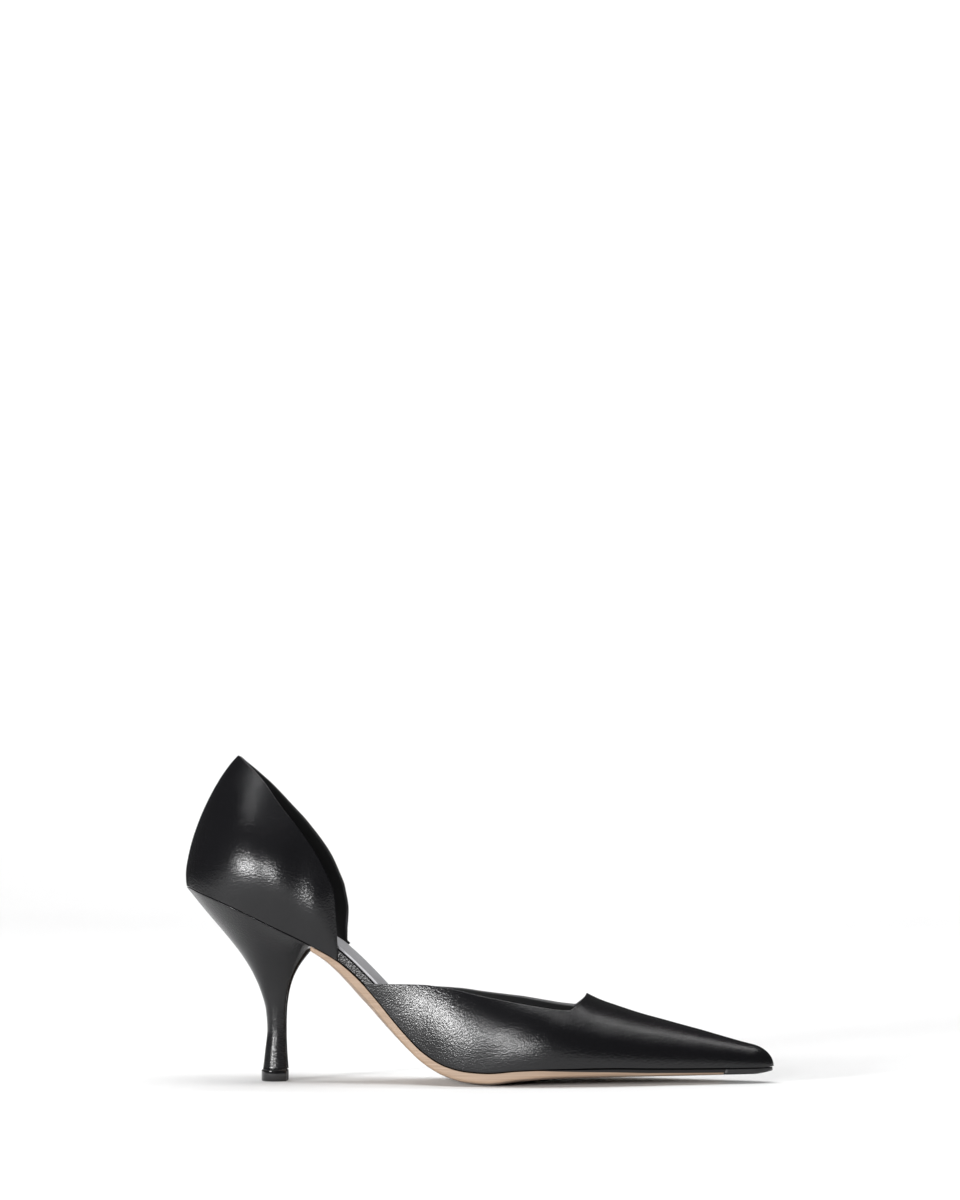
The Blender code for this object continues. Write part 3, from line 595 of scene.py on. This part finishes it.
def make_shell(name, surface, wall, materials, node):
    """A wall of leather round an open surface: its outside, its lining, and edges rolled between them."""
    outer, inner = surface(-1), surface(1)
    rows, columns = outer.shape[:2]
    faces = [grid_faces(rows, columns)[:, ::-1], grid_faces(rows, columns, rows * columns)]
    points = np.concatenate([outer.reshape(-1, 3), inner.reshape(-1, 3)])
    made = new_piece(name, points, [np.concatenate(faces)], materials, node, closed=False)
    shell = made.modifiers.new("wall", "SOLIDIFY")
    shell.thickness = wall
    shell.offset = -1
    shell.use_even_offset = True
    shell.material_offset = 1
    # The rolled edges take the third material, whose lighter colour is a painted highlight along them.
    shell.material_offset_rim = 2
    rolled = made.modifiers.new("rolled_edges", "SUBSURF")
    rolled.levels = rolled.render_levels = 1
    return made


def rounded_slab(x, y, top, low, round_top, round_low):
    """Closed rings across a slab: its upper face, a rounded side, its lower face and the other side.

    Each corner is a quarter turn of the given radius, and the faces stay where they are between them.
    """
    turn = np.radians([0, 22, 45, 68, 90])
    middle = (y[:, :1] + y[:, -1:]) / 2
    half = np.abs(y[:, -1:] - y[:, :1]) / 2
    thick = np.minimum(top[:, :1], top[:, -1:]) - np.maximum(low[:, :1], low[:, -1:])
    r_top, r_low = np.minimum(round_top, thick * 0.45), np.minimum(round_low, thick * 0.45)

    def drawn(rows, radius):
        """A face's points drawn in from the sides by the corner's radius."""
        share = np.clip(1 - radius / np.maximum(half, radius * 1.5), 0.3, 1)
        return middle + (rows - middle) * share

    top_y, low_y = drawn(y, r_top), drawn(y, r_low)
    sides = []
    for k, sign in ((-1, 1), (0, -1)):
        edge_y = y[:, [k]]
        up_y = edge_y - sign * r_top * (1 - np.sin(turn))
        up_z = top[:, [k]] - r_top * (1 - np.cos(turn))
        down_y = edge_y - sign * r_low * (1 - np.sin(turn[::-1]))
        down_z = low[:, [k]] + r_low * (1 - np.cos(turn[::-1]))
        between = np.linspace(0, 1, 8)[None, 1:-1]
        mid_z = up_z[:, -1:] * (1 - between) + down_z[:, :1] * between
        side_x = x[:, [k]] + np.zeros((1, 16))
        side_y = np.concatenate([up_y, edge_y + 0 * between, down_y], 1)
        side_z = np.concatenate([up_z, mid_z, down_z], 1)
        sides.append((side_x, side_y, side_z))
    (ax, ay, az), (bx, by, bz) = sides
    xs = np.concatenate([x, ax, x[:, ::-1], bx[:, ::-1]], 1)
    ys = np.concatenate([top_y, ay, low_y[:, ::-1], by[:, ::-1]], 1)
    zs = np.concatenate([top, az, low[:, ::-1], bz[:, ::-1]], 1)
    return np.stack([xs, ys, zs], -1)


def slab_piece(name, rings, materials, node, values=None):
    """A slab from its rings, each end closed by a flat face."""
    rows, count = rings.shape[:2]
    ends = [np.arange(count)[None, :], (np.arange(count)[::-1] + (rows - 1) * count)[None, :]]
    return new_piece(name, rings, [ring_faces(rows, count), *ends], materials, node, values)


def make_insole(leather):
    """The covered insole: a slab between the last's bottom and the insole's upper face."""
    x, y = rungs(stations(0.4 * MM, LENGTH - INSOLE_FRONT), QUARTER_WALL + LASTING_GAP)
    rings = rounded_slab(x, y, insole_top(x, y), last_bottom(x, y), 0.9 * MM, 0.5 * MM)
    slab_piece("insole_cover", rings, [leather], "insole")


def make_sock(lining):
    """The sock: a thin slab that follows the insole's upper face, a little inside its edges."""
    inset = QUARTER_WALL + LASTING_GAP + SOCK_INSET
    x, y = rungs(stations(0.4 * MM, LENGTH - INSOLE_FRONT - SOCK_INSET), inset)
    low = insole_top(x, y) + upright(x, 0.05 * MM)
    high = insole_top(x, y) + upright(x, GAP + SOCK_THICKNESS)
    rings = rounded_slab(x, y, high, low, 0.3 * MM, 0.2 * MM)
    slab_piece("sock", rings, [lining], "sock_lining")


def sole_piece(name, places, back_slant, front_slant, material, node):
    """A stretch of the sole with its lower edge rounded. band is how far each point is above the dark band's lower
    line.
    """
    x, y = rungs(places, SOLE_INSET)
    low_x, low_y = rungs(places, SOLE_INSET + SOLE_BEVEL)
    rings = rounded_slab(x, y, seat_face(x, y), sole_bottom(low_x, low_y), 0.25 * MM, 1.1 * MM)
    thick = np.ptp(rings[..., 2], axis=1)
    depth = (rings[..., 2].max(1)[:, None] - rings[..., 2]) / np.maximum(thick, 0.1 * MM)[:, None]
    rings[0, :, 0] -= back_slant * depth[0]
    rings[-1, :, 0] -= front_slant * depth[-1]
    # How wide the dark band along the sole's top edge is at each point
    dark_band = SOLE_DARK_BAND * smooth(DARK_BAND, "share", rings[..., 0] / LENGTH)
    band = rings[..., 2] - (seat_face(rings[..., 0], rings[..., 1]) - dark_band)
    slab_piece(name, rings, [material], node, band / MM)


def make_sole(leather, rubber):
    """The sole in two stretches that meet at a slanted joint near the toe."""
    joint = LENGTH - TOE_PIECE_LENGTH
    places = stations(HEEL_SEAT_LENGTH + 2 * GAP, joint)
    sole_piece("leather_sole", places, 0, TOE_PIECE_SLANT, leather, "outsole")
    places = stations(joint + 0.12 * MM, LENGTH - 0.05 * MM)
    sole_piece("rubber_toe", places, TOE_PIECE_SLANT, 0, rubber, "toe_piece")


def heel_sections(levels, sides=HEEL_SIDES, breast=HEEL_BREAST):
    """The heel's sections. Each has the seat's own outline, drawn in towards the stem, with a hollow breast.

    Beside the breast runs a bead: the covering's folded edge, raised like a bell curve.
    """
    (back_x, back_z), (front_x, front_z), read = heel_rows(levels)
    seat_back, seat_front = feather(0.0) - GAP, feather(HEEL_SEAT_LENGTH) - GAP
    turn = np.linspace(0, 1, sides)
    share = 1 - np.cos(turn * np.pi / 2)
    share = share * 0.5 + 0.5 * turn**2
    seat_x = GAP + share * (HEEL_SEAT_LENGTH - GAP)
    drawn = np.clip((share - 0.5) * 2, 0, 1) ** 2
    flat = np.linspace(-1, 1, breast + 1)[1:-1]
    rings = []
    for k in range(len(levels)):
        narrow = 1 - drawn * (1 - read["front"][k] / HEEL[-1].front)
        middle, half = plan(seat_x)
        half = (half - GAP * (share > 0)) * read["half"][k] * narrow
        half[0] = 0.0
        outer, inner = middle * read["half"][k] - half, middle * read["half"][k] + half
        bead = HEEL_BEAD * np.exp(-(((np.abs(flat) - 0.93) / 0.06) ** 2)) / max(front_x[k] - back_x[k], MM)
        hollow = 1 - read["dish"][k] * (1 - flat**4) + bead * (read["dish"][k] > 0.02)
        along = np.concatenate([share, hollow, share[:0:-1]])
        breast_y = outer[-1] + (inner[-1] - outer[-1]) * (flat + 1) / 2
        y = np.concatenate([outer, breast_y, inner[:0:-1]])
        x = back_x[k] + along * (front_x[k] - back_x[k])
        z = back_z[k] + along * (front_z[k] - back_z[k])
        below = np.concatenate([seat_x, np.full(breast - 1, HEEL_SEAT_LENGTH), seat_x[:0:-1]])
        curved = seat_face(below, y / read["half"][k])
        straight = seat_back + along * (seat_front - seat_back)
        z = z + (curved - straight) * levels[k] ** 8
        rings.append(np.stack([x, y, z], -1))
    return np.array(rings)


def make_heel(leather, breast_leather):
    """The covered heel: a curved stem that flares to its foot, its rim and its foot's edge slightly rounded."""
    levels = np.concatenate([np.linspace(0, HEEL_RIM, 110), [0.990, 0.994, 0.997, 0.999, 1.0]])
    rings = heel_sections(levels)
    count = rings.shape[1]
    near_rim = np.clip((levels - HEEL_RIM) / (1 - HEEL_RIM), 0, 1)
    draw = 1 - 0.018 * (1 - np.sqrt(1 - near_rim**2))
    middle = rings.mean(axis=1, keepdims=True)
    rings[..., 1:2] = middle[..., 1:2] + (rings[..., 1:2] - middle[..., 1:2]) * draw[:, None, None]
    faces = ring_faces(len(levels), count)
    top = (len(levels) - 1) * count
    a = np.arange(1, HEEL_SIDES - 1)
    seat = np.stack([a, a + 1, (count - a - 1) % count, count - a], -1) + top
    tip = np.array([[0, 1, count - 1]]) + top
    front = np.arange(HEEL_SIDES - 1, HEEL_SIDES + HEEL_BREAST)[None, :] + top
    foot = np.arange(count)[::-1][None, :]
    made = new_piece("heel_cover", rings, [faces, seat, tip, front, foot], [leather, breast_leather],
                     "heel")
    middles = np.array([face.center[:] for face in made.data.polygons])
    normals = np.array([face.normal[:] for face in made.data.polygons])
    # The breast is what faces the toe, up to three quarters of the seat's height.
    inside = (normals[:, 0] > 0.5) & (np.abs(normals[:, 1]) < 0.75) & (middles[:, 2] < SEAT_HEIGHT * 0.74)
    made.data.polygons.foreach_set("material_index", inside.astype(np.int32))


def make_top_piece(hard):
    """The hard piece that the heel walks on: the heel's foot drawn straight down, its edges quarter turns."""
    foot = heel_sections(np.array([0.0]))[0]
    length = np.ptp(foot[:, 0])
    middle = (foot[:, 0].min() + length / 2, 0)
    flat = (foot[:, :2] - middle) * TOP_PIECE_LENGTH / length
    turn = np.radians(np.linspace(0, 90, 7))
    low = np.stack([TOP_PIECE_ROUND * (1 - np.sin(turn)), TOP_PIECE_ROUND * (1 - np.cos(turn))], -1)
    high = np.stack([low[::-1, 0], TOP_PIECE_HEIGHT - low[::-1, 1]], -1)
    rings = []
    for inset, level in np.concatenate([low, high]):
        ring = (HEEL_PITCH, 0) + flat * (1 - inset / (TOP_PIECE_LENGTH / 2))
        rings.append(np.column_stack([ring, np.full(len(ring), level)]))
    slab_piece("heel_tip", np.array(rings)[::-1], [hard], "top_piece")


def linear(code):
    """An sRGB hex colour as linear red, green, blue and alpha."""
    parts = np.array([int(code[k:k + 2], 16) for k in (1, 3, 5)]) / 255
    return (*np.where(parts <= 0.04045, parts / 12.92, ((parts + 0.055) / 1.055) ** 2.4), 1.0)


def add_node(tree, kind, settings=None, **links):
    """Adds a node with its settings and links. A link's name is the socket's, with _ for each space."""
    node = tree.nodes.new(kind)
    for name, value in (settings or {}).items():
        setattr(node, name, value)
    for name, value in links.items():
        socket = node.inputs[int(name[1:])] if name[1:].isdigit() else node.inputs[name.replace("_", " ")]
        if hasattr(value, "is_output"):
            tree.links.new(value, socket)
        else:
            socket.default_value = value
    return node


def new_material(name, colour, roughness, **more):
    """A material with its shader, and the tree and shader to add its pattern to."""
    material = bpy.data.materials.new(name)
    material.use_nodes = True
    tree = material.node_tree
    shader = tree.nodes["Principled BSDF"]
    shader.inputs["Base Color"].default_value = linear(colour)
    shader.inputs["Roughness"].default_value = roughness
    for key, value in more.items():
        shader.inputs[key.replace("_", " ")].default_value = value
    return material, tree, shader


def black_calf(name, colour, roughness, grain, sheen_spread):
    """Black calf: soft pebbles creased by finer pores break up its shine, and its polish is a little uneven."""
    material, tree, shader = new_material(name, colour, roughness, Specular_IOR_Level=0.42)
    place = add_node(tree, "ShaderNodeTexCoord").outputs["Object"]
    pebbles = add_node(tree, "ShaderNodeTexVoronoi", {"feature": "SMOOTH_F1"}, Vector=place, Scale=1 / PEBBLE,
                       Smoothness=0.7, Randomness=1.0)
    pores = add_node(tree, "ShaderNodeTexNoise", None, Vector=place, Scale=1 / PORE, Detail=2.0)
    mixed = add_node(tree, "ShaderNodeMath", {"operation": "MULTIPLY_ADD"}, _0=pores.outputs["Fac"], _1=0.7,
                     _2=pebbles.outputs["Distance"])
    bump = add_node(tree, "ShaderNodeBump", None, Height=mixed.outputs[0], Strength=grain, Distance=GRAIN_DEPTH)
    waves = add_node(tree, "ShaderNodeTexNoise", None, Vector=place, Scale=1 / POLISH_PATCH, Detail=0.0)
    soft = add_node(tree, "ShaderNodeBump", None, Height=waves.outputs["Fac"], Strength=0.08, Distance=0.2 * MM,
                    Normal=bump.outputs["Normal"])
    tree.links.new(soft.outputs["Normal"], shader.inputs["Normal"])
    polish = add_node(tree, "ShaderNodeMapRange", None, _0=waves.outputs["Fac"], _1=0.3, _2=0.7,
                      _3=roughness - sheen_spread, _4=roughness + sheen_spread)
    tree.links.new(polish.outputs[0], shader.inputs["Roughness"])
    return material


def lining_leather(name, colour, roughness):
    """Thin lining leather: a fine nap and faint cloudy tone."""
    material, tree, shader = new_material(name, colour, roughness)
    place = add_node(tree, "ShaderNodeTexCoord").outputs["Object"]
    nap = add_node(tree, "ShaderNodeTexNoise", None, Vector=place, Scale=1 / (0.35 * MM), Detail=4.0)
    cloud = add_node(tree, "ShaderNodeTexNoise", None, Vector=place, Scale=1 / (9 * MM), Detail=3.0)
    tone = add_node(tree, "ShaderNodeValToRGB", None, Fac=cloud.outputs["Fac"])
    dark = np.array(linear(colour)) * (0.84, 0.84, 0.84, 1)
    tone.color_ramp.elements[0].color, tone.color_ramp.elements[1].color = dark, linear(colour)
    tree.links.new(tone.outputs["Color"], shader.inputs["Base Color"])
    bump = add_node(tree, "ShaderNodeBump", None, Height=nap.outputs["Fac"], Strength=0.5, Distance=0.05 * MM)
    tree.links.new(bump.outputs["Normal"], shader.inputs["Normal"])
    return material


def tan_sole(name):
    """Tan sole leather: layered edge streaks, turning near black where the band value is above the dark band's
    lower line.
    """
    material, tree, shader = new_material(name, "#c9a88e", 0.5, Specular_IOR_Level=0.35)
    place = add_node(tree, "ShaderNodeTexCoord").outputs["Object"]
    long_way = add_node(tree, "ShaderNodeVectorMath", {"operation": "MULTIPLY"}, _0=place,
                        _1=(1 / (30 * MM), 1 / (30 * MM), 1 / (0.5 * MM)))
    layers = add_node(tree, "ShaderNodeTexNoise", None, Vector=long_way.outputs[0], Scale=1.0, Detail=3.0)
    tone = add_node(tree, "ShaderNodeValToRGB", None, Fac=layers.outputs["Fac"])
    tone.color_ramp.elements[0].position, tone.color_ramp.elements[1].position = 0.3, 0.7
    tone.color_ramp.elements[0].color, tone.color_ramp.elements[1].color = linear("#87715d"), linear("#9d8774")
    band = add_node(tree, "ShaderNodeAttribute", {"attribute_name": "band"})
    # The dark band along the sole's top edge: near black above its lower line, tan below it.
    dark_band = add_node(tree, "ShaderNodeMapRange", None, _0=band.outputs["Fac"], _1=-0.12, _2=0.12)
    paint = add_node(tree, "ShaderNodeMix", {"data_type": "RGBA"}, Factor=dark_band.outputs[0])
    tree.links.new(tone.outputs["Color"], paint.inputs[6])
    paint.inputs[7].default_value = linear("#1b1a1a")
    tree.links.new(paint.outputs[2], shader.inputs["Base Color"])
    bump = add_node(tree, "ShaderNodeBump", None, Height=layers.outputs["Fac"], Strength=0.3, Distance=0.05 * MM)
    tree.links.new(bump.outputs["Normal"], shader.inputs["Normal"])
    return material


def black_rubber(name):
    """Matt rubber with a faint moulded texture."""
    material, tree, shader = new_material(name, "#1d1d1e", 0.5)
    place = add_node(tree, "ShaderNodeTexCoord").outputs["Object"]
    specks = add_node(tree, "ShaderNodeTexNoise", None, Vector=place, Scale=1 / (0.3 * MM), Detail=2.0)
    bump = add_node(tree, "ShaderNodeBump", None, Height=specks.outputs["Fac"], Strength=0.3, Distance=0.04 * MM)
    tree.links.new(bump.outputs["Normal"], shader.inputs["Normal"])
    return material


def hard_gloss(name):
    """Polished hard plastic, faintly scuffed."""
    material, tree, shader = new_material(name, "#0e0e0f", 0.10, Coat_Weight=0.4, Coat_Roughness=0.06)
    place = add_node(tree, "ShaderNodeTexCoord").outputs["Object"]
    scuffs = add_node(tree, "ShaderNodeTexNoise", None, Vector=place, Scale=1 / (1.5 * MM), Detail=4.0)
    gloss = add_node(tree, "ShaderNodeMapRange", None, _0=scuffs.outputs["Fac"], _1=0.35, _2=0.75, _3=0.06, _4=0.14)
    tree.links.new(gloss.outputs[0], shader.inputs["Roughness"])
    return material


def add_floor():
    """A floor of matt white paper, curved up far behind the shoe. The leather mirrors the floor only."""
    bend = np.radians(np.arange(0, 91, 6))
    floor = np.array([[-3.4, 0.0], [-1.0, 0.0], [0.6, 0.0]])
    backdrop = np.stack([1.9 + 0.6 * np.sin(bend), 0.6 - 0.6 * np.cos(bend)], -1)
    backdrop = np.vstack([[[0.6, 0.0]], backdrop, [[2.5, 2.6]]])
    paper = new_material("white_paper", "#f6f6f6", 0.9, Specular_IOR_Level=0.1)[0]
    for name, profile in (("studio_floor", floor), ("studio_backdrop", backdrop)):
        mesh = bpy.data.meshes.new(name)
        points = [(x, y, z) for y, z in profile for x in (-3.0, 3.2)]
        mesh.from_pydata(points, [], grid_faces(len(profile), 2)[:, ::-1].tolist())
        mesh.shade_smooth()
        mesh.materials.append(paper)
        made = bpy.data.objects.new(name, mesh)
        made.visible_glossy = name == "studio_floor"
        bpy.context.scene.collection.objects.link(made)


def aim(made, place, target):
    """Puts a light or the camera at a place, looking at a target."""
    way = np.array(target) - place
    made.location = place
    flat = np.hypot(way[0], way[1])
    made.rotation_euler = (np.pi / 2 + np.arctan2(way[2], flat), 0, np.arctan2(-way[0], way[1]))


def add_light(name, place, target, size, power):
    """A rectangular softbox."""
    light = bpy.data.lights.new(name, "AREA")
    light.shape = "RECTANGLE"
    light.size, light.size_y = size
    light.energy = power
    made = bpy.data.objects.new(name, light)
    bpy.context.scene.collection.objects.link(made)
    aim(made, place, target)


def add_studio():
    """A dim white room and the softboxes."""
    world = bpy.data.worlds.new("grey_room")
    world.use_nodes = True
    world.node_tree.nodes["Background"].inputs["Color"].default_value = linear("#ffffff")
    world.node_tree.nodes["Background"].inputs["Strength"].default_value = ROOM
    bpy.context.scene.world = world
    for light in LIGHTS:
        add_light(light.name, light.place, light.target, light.size, light.power)
    bpy.context.scene.view_settings.view_transform = "Standard"


def add_camera():
    """The photo's view: level with the shoe from 2 m, turned a little towards its heel."""
    lens = bpy.data.cameras.new("camera")
    lens.lens = LENS
    lens.sensor_width = FILM_WIDTH
    camera = bpy.data.objects.new("camera", lens)
    bpy.context.scene.collection.objects.link(camera)
    aim(camera, CAMERA_PLACE, CAMERA_TARGET)
    bpy.context.scene.camera = camera


def main():
    """The finer pieces, each standing for a node, then the studio and the camera."""
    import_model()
    calf = black_calf("black_calf", "#0e0e10", 0.22, 1.0, 0.015)
    # The rolled edges get a lighter copy of the calf: a painted highlight along them.
    edge = black_calf("calf_edge", "#363638", 0.36, 0.4, 0.02)
    breast = black_calf("breast_calf", "#141416", 0.22, 0.3, 0.03)
    inside = lining_leather("black_lining", "#0d0d0e", 0.6)
    sock = lining_leather("grey_sock_lining", "#b0b0b3", 0.6)
    make_shell("vamp_leather", vamp_surface, VAMP_WALL, [calf, inside, edge], "upper_vamp")
    make_shell("quarter_leather", quarter_surface, QUARTER_WALL, [calf, inside, edge],
               "upper_quarter")
    make_insole(calf)
    make_sock(sock)
    make_sole(tan_sole("tan_sole_leather"), black_rubber("black_rubber"))
    make_heel(calf, breast)
    make_top_piece(hard_gloss("glossy_plastic"))
    add_floor()
    add_studio()
    add_camera()


main()
